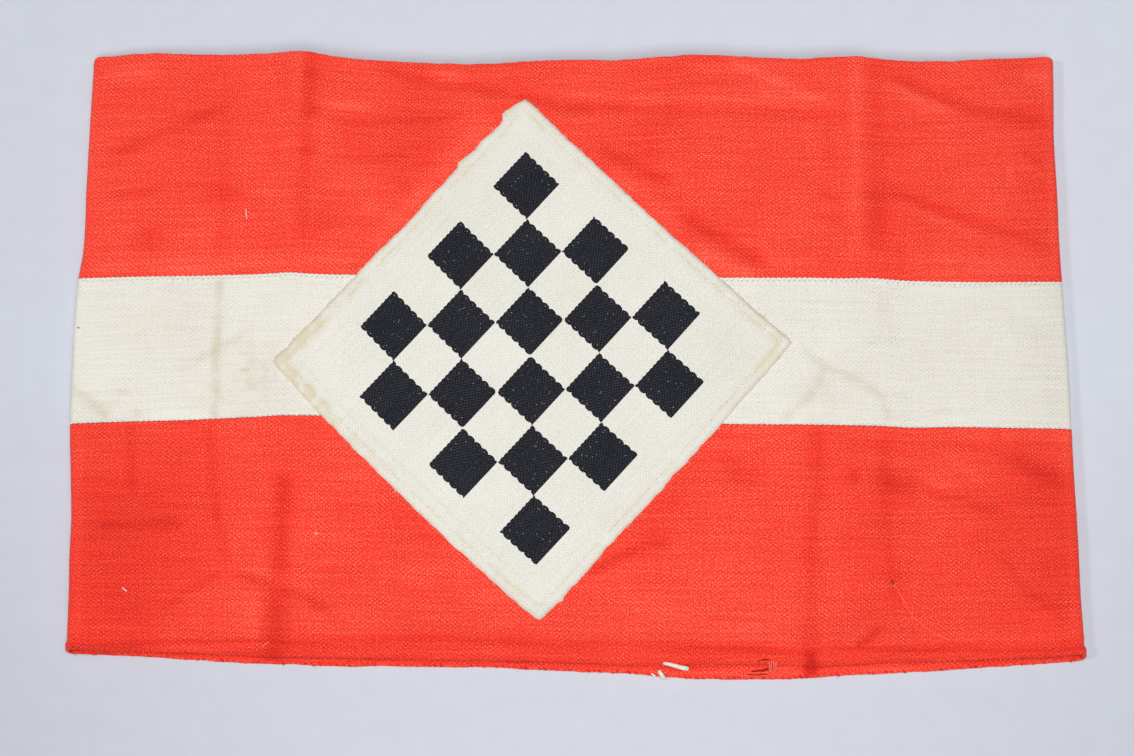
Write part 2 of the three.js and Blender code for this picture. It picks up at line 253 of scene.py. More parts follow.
# Bell of 1 on a crease's path, fading with the distance from the nearest stretch of it and towards both its
# ends
def creaseBell(width, fade, path, x, y):
    nearest, place, passed = np.inf, 0.0, 0.0
    for (ax, ay), (bx, by) in zip(path, path[1:]):
        length = math.hypot(bx - ax, by - ay)
        along = np.clip(((x - ax) * (bx - ax) + (y - ay) * (by - ay)) / length**2, 0, 1)
        away = np.hypot(x - ax - along * (bx - ax), y - ay - along * (by - ay))
        place = np.where(away < nearest, passed + along * length, place)
        nearest, passed = np.minimum(nearest, away), passed + length
    fade = min(fade, 0.45 * passed)
    return np.exp(-((nearest / width) ** 2)) * easeStep(np.minimum(place, passed - place), 0, fade)


# Sum over the creases of one of their columns: rise, tone or soil
def creaseSum(what, x, y, spread=1.0):
    column = {"rise": 1, "tone": 2, "soil": 3}[what]
    rows = [row for row in creases if row[column]]
    return sum(row[column] * creaseBell(row[0] * spread, row[4], row[5:], x, y) for row in rows)


# Height of the upper layer: the fold's height, plus an arch of 1 - |x / half width|^power that carries the
# creases and three sizes of soft wrinkles. Near the lower rim the layer sinks towards the one below
def upperHeight(x, y):
    radius = sleeve["foldRadius"]
    sunk = np.exp(-((np.maximum(y - rimLine("upperEdge", x), 0) / sleeve["rimReach"]) ** 2))
    left, right = readLine(foldLines, "y", "left", y), readLine(foldLines, "y", "right", y)
    halfWidth = np.where(x < 0, -left, right) - radius
    arch = 1 - np.minimum(1, np.abs(x / halfWidth)) ** sleeve["crownPower"]
    folds = creaseSum("rise", x, y, 1.25)
    wrinkles = 0.28 * softNoise(x + 0.4 * y, y - 0.3 * x, 34, 21, 5)
    wrinkles = wrinkles + 0.10 * softNoise(x - 0.5 * y, y + 0.2 * x, 13, 9, 6)
    wrinkles = wrinkles + 0.035 * softNoise(x + y, y - x, 4.5, 3.5, 7)
    sinking = sleeve["rimHeight"] - 2 * radius - sleeve["crown"] - 0.6 * (folds + wrinkles)
    return 2 * radius + arch * (sleeve["crown"] + folds + wrinkles + sunk * sinking)


span, turn = sleeve["span"], math.pi * sleeve["foldRadius"]
loopLength = 2 * (span + turn)


# Where a distance round the loop lies: whether it comes before the end of the under layer, of the fold at the
# right and of the upper layer, its share of the way from left to right, and its angle round the folds
def loopPlace(u):
    u = np.mod(u, loopLength)
    before = [u < span, u < span + turn, u < 2 * span + turn]
    share = np.select(before, [u / span, 1.0, 1 - (u - span - turn) / span], 0.0)
    right = (u - span) / sleeve["foldRadius"] - math.pi / 2
    left = (u - 2 * span - turn) / sleeve["foldRadius"] + math.pi / 2
    return before, share, np.select(before, [-math.pi / 2, right, math.pi / 2], left)


# A point of the sleeve's wall at distance u round the loop and height y up the sleeve, inset into the wall.
# Round the loop come the under layer, a half circle at the right, the upper layer and a half circle at the
# left
def loopPoint(u, y, inset):
    radius = sleeve["foldRadius"]
    (under, onRight, upper), share, angle = loopPlace(u)
    left = readLine(foldLines, "y", "left", y) + radius
    right = readLine(foldLines, "y", "right", y) - radius
    x = left + (right - left) * share
    reach = radius - inset
    bent = radius + reach * np.sin(angle)
    z = np.select([under, onRight, upper], [inset + 0 * x, bent, upperHeight(x, y) - inset], bent)
    atFold = ~under & (onRight | ~upper)
    return np.stack([x + np.where(atFold, reach * np.cos(angle), 0), y + 0 * x, z], -1)


# Place across the sleeve, and 0 on the under layer to 1 on the upper one, at a distance round the loop
def placeOf(u):
    share, angle = loopPlace(u)[1:]
    first, last = rimLines["x"][0], rimLines["x"][-1]
    return first + (last - first) * share, (1 + np.sin(angle)) / 2


# One of the sleeve's lines at a distance round the loop: its rims, its joints or the hem's upper end
def lineAt(name, u):
    x, lift = placeOf(u)
    uneven = 0.09 * softNoise(u, 0 * u, 3.3, 1, 41) + 0.06 * softNoise(u, 0 * u, 1.3, 1, 42)
    if name == "top":
        return rimLine("top", x) - (1 - lift) * sleeve["underSetback"] + uneven
    if name == "bottom":
        low, high = rimLine("underEdge", x), rimLine("upperEdge", x)
        return low + (high - low) * lift + uneven
    if name == "hem":
        low, high = rimLine("underEdge", x) + sleeve["underHem"], rimLine("hem", x)
        return low + (high - low) * lift
    return rimLine(name, x)


# Mesh from a grid of points in millimetres, joined to itself across and along. uv has one more row and
# column, so that the pattern has its own end there
def gridMesh(name, points, uv, layers):
    rows, columns = points.shape[:2]
    row, column = np.meshgrid(np.arange(rows), np.arange(columns), indexing="ij")
    corners = [(row, column), (row, column + 1), (row + 1, column + 1), (row + 1, column)]
    faces = np.stack([(r % rows) * columns + c % columns for r, c in corners], -1).reshape(-1, 4)
    corner = np.stack([uv[r, c] for r, c in corners], -2).reshape(-1, 2)
    return meshFrom(name, points.reshape(-1, 3), faces, corner, layers)


# Piece from points in millimetres, one array of faces or a list of them, the thread map of each face corner
# and values for each point
def meshFrom(name, points, faces, corner=None, layers=()):
    mesh = bpy.data.meshes.new(name)
    mesh.vertices.add(len(points))
    mesh.vertices.foreach_set("co", (points * mm).ravel())
    groups = faces if isinstance(faces, list) else [faces]
    sizes = np.concatenate([np.full(len(group), group.shape[1]) for group in groups])
    flat = np.concatenate([group.ravel() for group in groups])
    mesh.loops.add(len(flat))
    mesh.loops.foreach_set("vertex_index", flat)
    mesh.polygons.add(len(sizes))
    mesh.polygons.foreach_set("loop_start", np.concatenate([[0], np.cumsum(sizes)[:-1]]))
    mesh.update(calc_edges=True)
    mesh.validate()
    mesh.polygons.foreach_set("use_smooth", np.ones(len(sizes), bool))
    if corner is not None:
        mesh.uv_layers.new(name="threadMap").data.foreach_set("uv", corner.ravel())
    for layer, values in dict(layers).items():
        mesh.attributes.new(layer, "FLOAT", "POINT").data.foreach_set("value", values.ravel())
    piece = bpy.data.objects.new(name, mesh)
    bpy.context.scene.collection.objects.link(piece)
    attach(piece, "root")
    return piece


# Columns of the strips round the loop: few on the under layer, close together on the folds and the upper
# layer
stations = np.concatenate([
    np.linspace(0, span, 160, endpoint=False),
    span + np.linspace(0, turn, 12, endpoint=False),
    span + turn + np.linspace(0, span, 400, endpoint=False),
    2 * span + turn + np.linspace(0, turn, 12, endpoint=False),
])
edgeTurns = np.array([30, 70, 110, 150])[:, None] * math.pi / 180  # points over a strip's rounded edge


# One strip of the sleeve as a closed wall. Its section goes up the outside through the given lines, over the
# edge in a half circle, down the inside and round the other edge; relief raises the outside
def stripPiece(name, lines, steps, relief, marks=None):
    half = sleeve["thickness"] / 2
    u = np.concatenate([stations, [loopLength]])
    lines = [line(u) for line in lines]
    outside = [lines[0][None]]
    for low, high, count in zip(lines, lines[1:], steps):
        outside.append(low + (high - low) * (np.arange(count) + 1)[:, None] / count)
    outside = np.concatenate(outside)
    inside = outside[::-3]
    lift = placeOf(u)[1]
    rise = relief(u[None], outside, lines) * lift
    bulge, turned = half * np.sin(edgeTurns), np.cos(edgeTurns)
    y = np.concatenate([outside, outside[-1:] + bulge, inside, outside[:1] - bulge])
    overEdge = half * (1 - turned) - rise[-1:] * (1 + turned) / 2
    underEdge = half * (1 + turned) - rise[:1] * (1 - turned) / 2
    inset = np.concatenate([-rise, overEdge + 0 * u, np.full(inside.shape, 2 * half), underEdge + 0 * u])
    points = loopPoint(u[None] + 0 * y, y, inset)
    v = (y - lines[0]) / (lines[-1] - lines[0]) * (lines[-1] - lines[0]).mean()
    uv = np.stack([u[None] + 0 * y, v], -1)
    uv = np.concatenate([uv, uv[:1]])
    x, lifted = points[..., 0], np.broadcast_to(lift, y.shape)
    # shade: the painted light and shade of the creases and marks, carried to the material
    shade = creaseSum("tone", x, y) + (marks(u[None], y, x, lifted) if marks else 0)
    soil = creaseSum("soil", x, y) + sum(
        amount * np.exp(-(((x - atX) / reachX) ** 2) - ((y - atY) / reachY) ** 2)
        for (atX, atY), (reachX, reachY), amount in soiledPlaces
    )
    return gridMesh(name, points[:, :-1], uv, {"shade": shade[:, :-1], "soil": soil[:, :-1]})


# The white strip's turned edge: a low welt along the upper joint, with a fine groove where it ends
def weltRelief(u, y, lines):
    away = lines[-1] - y
    width = sleeve["weltWidth"]
    welt = sleeve["weltRise"] * (1 - easeStep(away, width - 0.15, width + 0.05))
    return welt - 0.08 * np.exp(-(((away - width - 0.05) / 0.16) ** 2))


# The turned-up hem: raised from the rim to the hem line, with a shallow groove and puckers where it is sewn
def hemRelief(u, y, lines):
    hem = lineAt("hem", u)
    inHem = 1 - easeStep(y - hem, -0.7, 0.1)
    pucker = 0.5 + 0.5 * softNoise(u, 0 * y, 3.2, 1, 11)
    unevenRoll = 0.7 + 0.3 * softNoise(u + 0 * y, 0 * y, 7, 1, 12)
    roll = 0.16 * np.exp(-(((y - lines[0] - 1.1) / 0.8) ** 2)) * unevenRoll
    groove = (0.16 + 0.12 * pucker) * np.exp(-(((y - hem - 0.1) / 0.5) ** 2))
    return sleeve["hemRise"] * inHem + roll - groove


# Painted shade and light along the hem: its painted shadow line, widest in the middle, the darker cloth along
# the rim, painted shade on a fold at a worn place with painted light beside it, the painted shadow between
# the two layers, and painted light on the under layer
def hemMarks(u, y, x, lifted):
    middle = easeStep(x, -64, -60) * (1 - easeStep(x, 50, 56))
    away = y - lineAt("hem", u) - 0.1 + 0.8 * middle
    line = 0.17 + 0.05 * softNoise(u, 0 * y, 9, 1, 13) + 0.01 * middle
    line = line * np.exp(-((away / (0.5 + 0.6 * middle)) ** 2)) * (lifted > 0.5)
    hem = 0.09 * (1 - easeStep(y - lineAt("bottom", u), 2.6, 4.2)) * lifted
    rim = rimLine("upperEdge", placeOf(u)[0]) + 0.12 * softNoise(u, 0 * u, 5, 1, 14)
    between = np.exp(-(((y - rim + 0.1) / 0.8) ** 2)) * np.where(lifted > 0.5, 0.1, 0.26)
    # Painted shade on the fold at the worn place, and painted light on the cloth just left of it
    foldShadeAtWornPlace = 0.4 * np.exp(-(((x - 51.4) / 1.1) ** 2) - ((y + 66.7) / 1.5) ** 4)
    lightBesideWornPlace = 0.14 * np.exp(-(((x - 47) / 3.4) ** 4) - (y + 66.8) ** 4)
    # The under layer is lightened a little with painted light
    return lightBesideWornPlace - line - hem - between - foldShadeAtWornPlace + 0.06 * (1 - lifted)


# A rounded swelling along the upper rim
def rimRelief(u, y, lines):
    return 0.12 * np.exp(-(((lines[-1] - y - 0.9) / 0.7) ** 2))


gap, edge = sleeve["seamGap"] / 2, sleeve["thickness"] / 2
shifted = lambda name, by: lambda u: lineAt(name, u) + by
upperLines = [
    shifted("upperSeam", gap + edge), shifted("upperSeam", 2), shifted("top", -3), shifted("top", -edge),
]
middleLines = [
    shifted("lowerSeam", gap + edge), shifted("lowerSeam", 1.4),
    shifted("upperSeam", -1.4), shifted("upperSeam", -gap - edge),
]
lowerLines = [
    shifted("bottom", edge), shifted("hem", -0.9), shifted("hem", 0.9),
    shifted("lowerSeam", -2), shifted("lowerSeam", -gap - edge),
]
upperStrip = stripPiece("upperStrip", upperLines, [3, 44, 6], rimRelief)
middleStrip = stripPiece("middleStrip", middleLines, [6, 32, 6], weltRelief)
lowerStrip = stripPiece("lowerStrip", lowerLines, [8, 7, 42, 3], hemRelief, hemMarks)
print("sleeve made")

# The patch: a square of cloth sewn corner up, its edges turned under and stitched down
patch = {
    "top": (-10.8, 57.3), "right": (47.6, 2.6), "bottom": (-6.9, -57.3), "left": (-64.7, -2.0),
    "side": 81.0, "ply": 0.38, "turned": 4.6, "turnedRise": 0.2, "lieOn": 0.02,
    "stitchLine": 2.2, "stitchPitch": 2.5, "stitchLength": 1.15,
    "blunt": {"top": 0.14, "right": 0.15, "bottom": 0.3, "left": 0.15},
    # how far its sides bow outwards
    "bow": {"upperLeft": -0.1, "upperRight": -0.55, "lowerRight": 0.35, "lowerLeft": 1.3},
    # little steps in the edge: side, place along it, how far out, how it falls off before and after the place
    "nicks": [
        ("upperLeft", 74.6, 1.1, 0.7, 6.0), ("upperLeft", 66.8, 0.4, 2.0, 4.0),
        ("upperLeft", 59.9, 0.8, 0.7, 3.0), ("upperLeft", 41.8, -0.45, 7.0, 7.0),
        ("lowerRight", 6.5, 0.55, 1.0, 0.9), ("lowerRight", 21, -0.3, 2.0, 2.0),
        ("upperRight", 33, 0.2, 3.0, 1.0),
    ],
    # yellowing towards its left, right, top and bottom corners: amount and reach
    "cornerSoil": [(1.1, 22), (0.42, 16), (0.25, 16), (0.25, 16)],
}
side, half = patch["side"], patch["side"] / 2


# The patch in plan: p runs along its "/" sides and q along its "\" sides, in millimetres from its middle. The
# outline wavers a little, its sides bow out or in, and its corners are blunt
def patchPlan(p, q):
    seeds = {"upperLeft": 21, "lowerRight": 23, "upperRight": 25, "lowerLeft": 27}
    out = {}
    for name, seed in seeds.items():
        along = (p if name in ("upperLeft", "lowerRight") else q) + half
        out[name] = 0.15 * softNoise(along, 0 * along, 4.2, 1, seed)
        out[name] = out[name] + 0.11 * softNoise(along, 0 * along, 1.1, 1, seed + 1)
        for nicked, at, far, before, after in patch["nicks"]:
            if nicked == name:
                place = along - at
                out[name] = out[name] + far * np.clip(1 + np.minimum(place / before, -place / after), 0, 1)
    near = lambda away: np.exp(-away / 1.2)
    dp = out["upperRight"] * near(half - p) - out["lowerLeft"] * near(half + p)
    dq = out["upperLeft"] * near(half - q) - out["lowerRight"] * near(half + q)
    bow, across = patch["bow"], lambda place: 1 - np.abs(place / half) ** 3
    dp = dp + across(q) * (bow["upperRight"] * (0.5 + p / side) - bow["lowerLeft"] * (0.5 - p / side))
    dq = dq + across(p) * (bow["upperLeft"] * (0.5 + q / side) - bow["lowerRight"] * (0.5 - q / side))
    amounts = patch["blunt"]
    onRight = np.where(q > 0, amounts["top"], amounts["right"])
    onLeft = np.where(q > 0, amounts["left"], amounts["bottom"])
    fromCorner = np.hypot(half - np.abs(p), half - np.abs(q))
    blunt = np.where(p > 0, onRight, onLeft) * np.exp(-(fromCorner / 1.1) ** 2)
    a = (p + dp - np.sign(p) * blunt) / side + 0.5
    b = (q + dq - np.sign(q) * blunt) / side + 0.5
    shares = [(1 - a) * (1 - b), a * (1 - b), (1 - a) * b, a * b]
    corners = [patch[name] for name in ("bottom", "right", "left", "top")]
    return [sum(share * corner[k] for share, corner in zip(shares, corners)) for k in (0, 1)]


# Thickness of the patch: rounded over the turned edge, lower inside it, dented along the stitch line
def patchThickness(p, q):
    away = np.minimum(half - np.abs(p), half - np.abs(q))
    along = np.where(half - np.abs(p) < half - np.abs(q), q, p)
    rounding = np.sin(math.pi / 2 * np.clip(away / 0.9, 0, 1))
    turned = patch["turnedRise"] * (1 - easeStep(away, patch["turned"] - 0.4, patch["turned"] + 0.4))
    dents = 0.55 + 0.45 * np.cos(2 * math.pi * along / patch["stitchPitch"]) + 0.3 * softNoise(p, q, 7, 7, 35)
    groove = 0.05 * np.exp(-(((away - patch["stitchLine"]) / 0.32) ** 2)) * dents
    uneven = 0.04 * softNoise(p, q, 3.1, 3.1, 31) + 0.05 * softNoise(p, q, 8, 8, 32)
    return (0.05 + 0.95 * rounding) * (patch["ply"] + turned + uneven) - groove


def patchPoint(p, q, rise):
    x, y = patchPlan(p, q)
    return np.stack([x, y, upperHeight(x, y) + patch["lieOn"] + rise], -1)


def onPatch(p, q, out):
    return patchPoint(p, q, patchThickness(p, q) + out)


# Closed body between a top and a bottom grid of points, with walls along the four sides
def slabFaces(rows, columns):
    row, column = np.meshgrid(np.arange(rows - 1), np.arange(columns - 1), indexing="ij")
    at = lambda r, c, under=0: under * rows * columns + r * columns + c
    corners = [at(row, column), at(row, column + 1), at(row + 1, column + 1), at(row + 1, column)]
    top = np.stack(corners, -1).reshape(-1, 4)
    r, c = np.arange(rows - 1), np.arange(columns - 1)
    last, end = rows - 1, columns - 1
    walls = [
        np.stack([at(0, c), at(0, c, 1), at(0, c + 1, 1), at(0, c + 1)], -1),
        np.stack([at(last, c), at(last, c + 1), at(last, c + 1, 1), at(last, c, 1)], -1),
        np.stack([at(r, 0), at(r + 1, 0), at(r + 1, 0, 1), at(r, 0, 1)], -1),
        np.stack([at(r, end), at(r, end, 1), at(r + 1, end, 1), at(r + 1, end)], -1),
    ]
    return np.concatenate([top, top[:, ::-1] + rows * columns, *walls])


# Thread map of a slab's face corners, the same above and below
def slabMap(p, q, faces):
    return np.tile(np.stack([p, q], -1).reshape(-1, 2), (2, 1))[faces].reshape(-1, 2)


nearEdge = np.array([0, 0.1, 0.25, 0.5, 0.9, 1.4, 1.8, 2.05, 2.3, 2.6, 3.1, 3.7, 4.2, 4.5, 4.8, 5.2])
middle = np.linspace(5.8, side - 5.8, 146)
places = np.concatenate([nearEdge, middle, side - nearEdge[::-1]]) - half
q, p = np.meshgrid(places, places, indexing="ij")
grids = [onPatch(p, q, 0), patchPoint(p, q, 0 * p)]
faces = slabFaces(*p.shape)
awayFromEdge = np.minimum(half - np.abs(p), half - np.abs(q))
nearCorner = 0.06
for (amount, reach), (cp, cq) in zip(patch["cornerSoil"], ((-1, 1), (1, -1), (1, 1), (-1, -1))):
    nearCorner = nearCorner + amount * np.exp(-((np.hypot(p - cp * half, q - cq * half) / reach) ** 2))
patchSoil = nearCorner * np.exp(-((awayFromEdge / 3.1) ** 6)) * (0.8 + 0.3 * softNoise(p, q, 6, 6, 33))
stitched = 0.45 * np.exp(-((awayFromEdge / 0.55) ** 2))
stitched = stitched + 0.36 * np.exp(-(((awayFromEdge - patch["stitchLine"]) / 0.5) ** 2))
patchSoil = patchSoil + stitched * (0.8 + 0.4 * softNoise(p, q, 2.2, 2.2, 36))
patchSoil = patchSoil + 0.08 * (1 + softNoise(p, q, 14, 14, 34))
layers = {"soil": np.tile(patchSoil.ravel(), 2), "shade": np.tile(0 * p.ravel(), 2)}
points = np.concatenate([grid.reshape(-1, 3) for grid in grids])
patchPiece = meshFrom("sewnPatch", points, faces, slabMap(p, q, faces), layers)
print("patch made")

# The woven chequer on the patch: dark cells with scalloped ends, in an even number both ways
chequer = {
    "cells": 6, "cell": 10.6, "rise": 0.13, "grid": 46,
    "scallop": 0.55, "scallopPitch": 2.0, "tooth": 0.2, "toothPitch": 1.15,
}
cell, count = chequer["cell"], chequer["cells"]
darkCentres = [
    [(k - (count - 1) / 2) * cell for k in (i, j)]
    for i in range(count) for j in range(count) if (i + j) % 2 == 0
]


# One dark cell is a low pad. Its "\" edges bulge in round scallops, its upper-left "/" edge in small teeth
def cellPoints(centreP, centreQ, rise):
    s = np.linspace(-1, 1, chequer["grid"])
    t, s = np.meshgrid(s, s, indexing="ij")
    p, q = centreP + s * cell / 2, centreQ + t * cell / 2
    scallop = chequer["scallop"] * (np.abs(np.sin(math.pi * q / chequer["scallopPitch"])) ** 0.5 - 0.72)
    tooth = chequer["tooth"] * (np.abs(np.sin(math.pi * p / chequer["toothPitch"])) - 0.5) * (t > 0)
    p, q = p + s * np.abs(s) ** 3 * scallop, q + t * np.abs(t) ** 3 * tooth
    away = (1 - np.maximum(np.abs(s), np.abs(t))) * cell / 2
    pad = rise * np.sqrt(np.clip(1 - (1 - np.clip(away / 0.5, 0, 1)) ** 2, 0, 1)) - 0.02
    return p, q, onPatch(p, q, np.where(rise > 0, pad, -0.2))


cellVertices, cellFaces, cellMap = [], [], []
for centre in darkCentres:
    p, q, top = cellPoints(*centre, chequer["rise"])
    bottom = cellPoints(*centre, 0)[2]
    block = slabFaces(*p.shape)
    cellFaces.append(block + len(cellVertices) * p.size)
    cellVertices += [top.reshape(-1, 3), bottom.reshape(-1, 3)]
    cellMap.append(slabMap(p, q, block))
darkCells = meshFrom("wovenCells", *map(np.concatenate, (cellVertices, cellFaces, cellMap)))
print("woven chequer made")


# Short threads lying on the cloth: each is a tube from its start to its end that bulges along its normal by a
# half sine and thins to both tips
def shortThreads(name, starts, ends, radius, bulge, normals=(0, 0, 1.0), sides=6, sections=6):
    t = np.linspace(0, 1, sections)[None, :, None, None]
    angle = np.linspace(0, 2 * math.pi, sides, endpoint=False)[None, None, :, None]
    radius = np.broadcast_to(np.asarray(radius, float), (len(starts),))[:, None, None, None]
    axis = ends - starts
    side = np.cross(normals, axis)
    side /= np.linalg.norm(side, axis=1, keepdims=True)
    up = np.cross(axis, side)
    up /= np.linalg.norm(up, axis=1, keepdims=True)
    start, axis, side, up = (a[:, None, None, :] for a in (starts, axis, side, up))
    swell = radius * np.sqrt(np.sin(math.pi * (0.06 + 0.88 * t)))
    middle = start + axis * t + up * bulge * np.sin(math.pi * t)
    return tubeMesh(name, middle + swell * (np.cos(angle) * side + np.sin(angle) * up))


# Tubes from points given by tube, section and side, closed with a flat cap at each end
def tubeMesh(name, points):
    tubes, sections, sides = points.shape[:3]
    k, s, j = np.meshgrid(np.arange(tubes), np.arange(sections - 1), np.arange(sides), indexing="ij")
    at = lambda k, s, j: (k * sections + s) * sides + j % sides
    walls = np.stack([at(k, s, j), at(k, s, j + 1), at(k, s + 1, j + 1), at(k, s + 1, j)], -1).reshape(-1, 4)
    k, j = np.meshgrid(np.arange(tubes), np.arange(sides), indexing="ij")
    return meshFrom(name, points.reshape(-1, 3), [walls, at(k, 0, j)[:, ::-1], at(k, sections - 1, j)])


# Long threads, each a tube along a smooth path through its points, its radius going from one value to another
def longThreads(name, threads, sides=8, sections=24):
    tubes = []
    for path, first, last in threads:
        fine = np.linspace(0, len(path) - 1, sections)
        table = {"at": np.arange(len(path)), **{k: [point[k] for point in path] for k in range(3)}}
        line = np.stack([readLine(table, "at", k, fine) for k in range(3)], -1)
        ahead = np.gradient(line, axis=0)
        ahead /= np.linalg.norm(ahead, axis=1, keepdims=True)
        side = np.cross([0, 0, 1.0], ahead)
        side /= np.linalg.norm(side, axis=1, keepdims=True)
        up = np.cross(ahead, side)
        angle = np.linspace(0, 2 * math.pi, sides, endpoint=False)[None, :, None]
        share = np.linspace(0, 1, sections)
        tips = np.clip(np.sin(math.pi * (0.03 + 0.94 * share)) * 5, 0, 1) ** 0.5
        radius = ((first + (last - first) * share) * tips)[:, None, None]
        tubes.append(line[:, None] + radius * (np.cos(angle) * side[:, None] + np.sin(angle) * up[:, None]))
    return tubeMesh(name, np.array(tubes))


# A point so far outside the sleeve's wall
def onSleeve(u, y, out):
    return loopPoint(u, y, -out)


def sleeveNormal(u, y, out):
    return (onSleeve(u, y, out + 0.1) - onSleeve(u, y, out)) / 0.1


seamRows = {
    "seamBeads": {"length": 0.84, "radius": 0.19, "into": 0.16, "out": 0.04, "bulge": 0.03},
    # The dashes are grey threads of painted shade in the welt's groove
    "seamShadeDashes": {"length": 0.55, "radius": 0.14, "into": 0.66, "out": 0.13, "bulge": 0.0},
    "weltStitches": {"length": 0.7, "radius": 0.12, "into": 0.98, "out": -0.03, "bulge": 0.02},
}
seamPitch = 1.126
underPatch = {"upperSeam": (-48.9, 30.9), "lowerSeam": (-52.9, 33.2)}  # where the patch covers them


# A row of short threads along the joints of the white strip: beads of its folded edge, grey dashes of painted
# shade in the welt's groove and the stitches where the welt ends. None lie under the patch
def seamRow(name, row):
    around = np.arange(0, loopLength, seamPitch)
    starts, ends, normals = [], [], []
    for line in ("upperSeam", "lowerSeam") if name == "seamBeads" else ("upperSeam",):
        y = lineAt(line, around) + (-1 if line == "upperSeam" else 0.6) * row["into"]
        x, (first, last) = loopPoint(around, y, 0)[:, 0], underPatch[line]
        lift = placeOf(around)[1]
        seen = (lift < 0.9) | (x < first) | (x > last)
        u, y, lift = around[seen], y[seen], lift[seen]
        out = row["out"] * lift - (row["radius"] + 0.05) * (1 - lift)
        starts.append(onSleeve(u - row["length"] / 2, y, out))
        ends.append(onSleeve(u + row["length"] / 2, y, out))
        normals.append(sleeveNormal(u, y, out))
    starts, ends, normals = map(np.concatenate, (starts, ends, normals))
    return shortThreads(name, starts, ends, row["radius"], row["bulge"], normals, sides=5, sections=5)


seamBeads, seamShadeDashes, weltStitches = (seamRow(name, row) for name, row in seamRows.items())
rope = {"pitch": 1.3, "reach": 0.42, "radius": 0.31, "sunk": 0.26}


# The hem's rope-like edge: slanted turns of cloth that follow each other round the lower rim
def hemRope():
    uneven = np.random.default_rng(8)
    u = np.arange(0, loopLength, rope["pitch"])
    u = u + uneven.normal(0, 0.14, u.shape)
    y = lineAt("bottom", u) + 0.14 + uneven.normal(0, 0.05, u.shape)
    slant = uneven.normal(0, 0.07, u.shape)
    sunk = rope["sunk"] + 0.16 * (1 - placeOf(u)[1]) + np.abs(uneven.normal(0, 0.05, u.shape))
    starts = onSleeve(u - rope["reach"], y + rope["reach"] + slant, -sunk)
    ends = onSleeve(u + rope["reach"], y + 0.02 - slant, -sunk - 0.02)
    return shortThreads("hemRope", starts, ends, rope["radius"], 0.02, sleeveNormal(u, y, 0))


hemRopePiece = hemRope()
rimFuzz = {"rims": 620, "folds": 260, "reach": 0.36, "radius": 0.03, "bulge": 0.08}


# Fuzz along both rims and the red strips' folds: fine fibres that leave the cloth at all angles
def rimFuzzPiece():
    stray = np.random.default_rng(29)
    u = stray.uniform(0, loopLength, rimFuzz["rims"])
    y = np.where(stray.random(u.shape) < 0.6, lineAt("bottom", u) + 0.1, lineAt("top", u) - 0.1)
    up = stray.uniform(-62, 66, rimFuzz["folds"])
    up = up[(up < -17) | (up > 19)]
    atFold = np.where(stray.random(up.shape) < 0.5, span + turn / 2, 2 * span + 1.5 * turn)
    root = onSleeve(np.concatenate([u, atFold]), np.concatenate([y, up]), -0.05)
    tip = root + stray.normal(0, rimFuzz["reach"], root.shape) * [1, 1, 0.3]
    root[:, 2], tip[:, 2] = np.maximum(root[:, 2], 0.05), np.maximum(tip[:, 2], 0.05)
    return shortThreads("rimFuzz", root, tip, rimFuzz["radius"], rimFuzz["bulge"], sides=4, sections=4)


rimFuzzThreads = rimFuzzPiece()


# Places on the patch so far along and away from its middle, on the side of each number
def onSides(number, along, away):
    return np.choose(number, [along, along, away, -away]), np.choose(number, [away, -away, along, along])


# Hand stitches that hold the patch, a few needle holes beside them
inset = half - patch["stitchLine"]
run = np.arange(-inset + 1.2, inset - 0.6, patch["stitchPitch"])
jitter = np.random.default_rng(3)
starts, ends = [], []
for number in range(4):
    away = inset + jitter.normal(0, 0.10, run.shape)
    along = run + jitter.normal(0, 0.12, run.shape)
    starts.append(onPatch(*onSides(number, along, away), 0.03))
    along = along + patch["stitchLength"] + jitter.normal(0, 0.12, run.shape)
    ends.append(onPatch(*onSides(number, along, away), 0.03))
starts, ends = np.concatenate(starts), np.concatenate(ends)
patchStitches = shortThreads("patchStitches", starts, ends, 0.09, 0.03)
holes = (starts - (ends - starts) * 0.28)[jitter.random(len(starts)) < 0.8]
single = 190  # holes that stand alone
along, number = jitter.uniform(-half + 2, half - 2, single), jitter.integers(0, 4, single)
away = half - jitter.uniform(0.5, 2.7, single)
holes = np.concatenate([holes, onPatch(*onSides(number, along, away), 0.01)])
holeRadius = jitter.uniform(0.06, 0.12, len(holes))
starts, ends = holes - [0.08, 0, 0.05], holes + [0.08, 0.05, -0.05]
needleHoles = shortThreads("needleHoles", starts, ends, holeRadius, 0.0, sides=5, sections=4)

# Fuzz along the patch's edge
fuzz = {"count": 260, "reach": 0.42, "radius": 0.035, "bulge": 0.08}
stray = np.random.default_rng(17)
along, number = stray.uniform(-half, half, fuzz["count"]), stray.integers(0, 4, fuzz["count"])
root = patchPoint(*onSides(number, along, half + 0 * along), 0.12)
tip = root + stray.normal(0, fuzz["reach"], root.shape) * [1, 1, 0.2]
edgeFuzz = shortThreads("edgeFuzz", root, tip, fuzz["radius"], fuzz["bulge"], sides=4, sections=4)

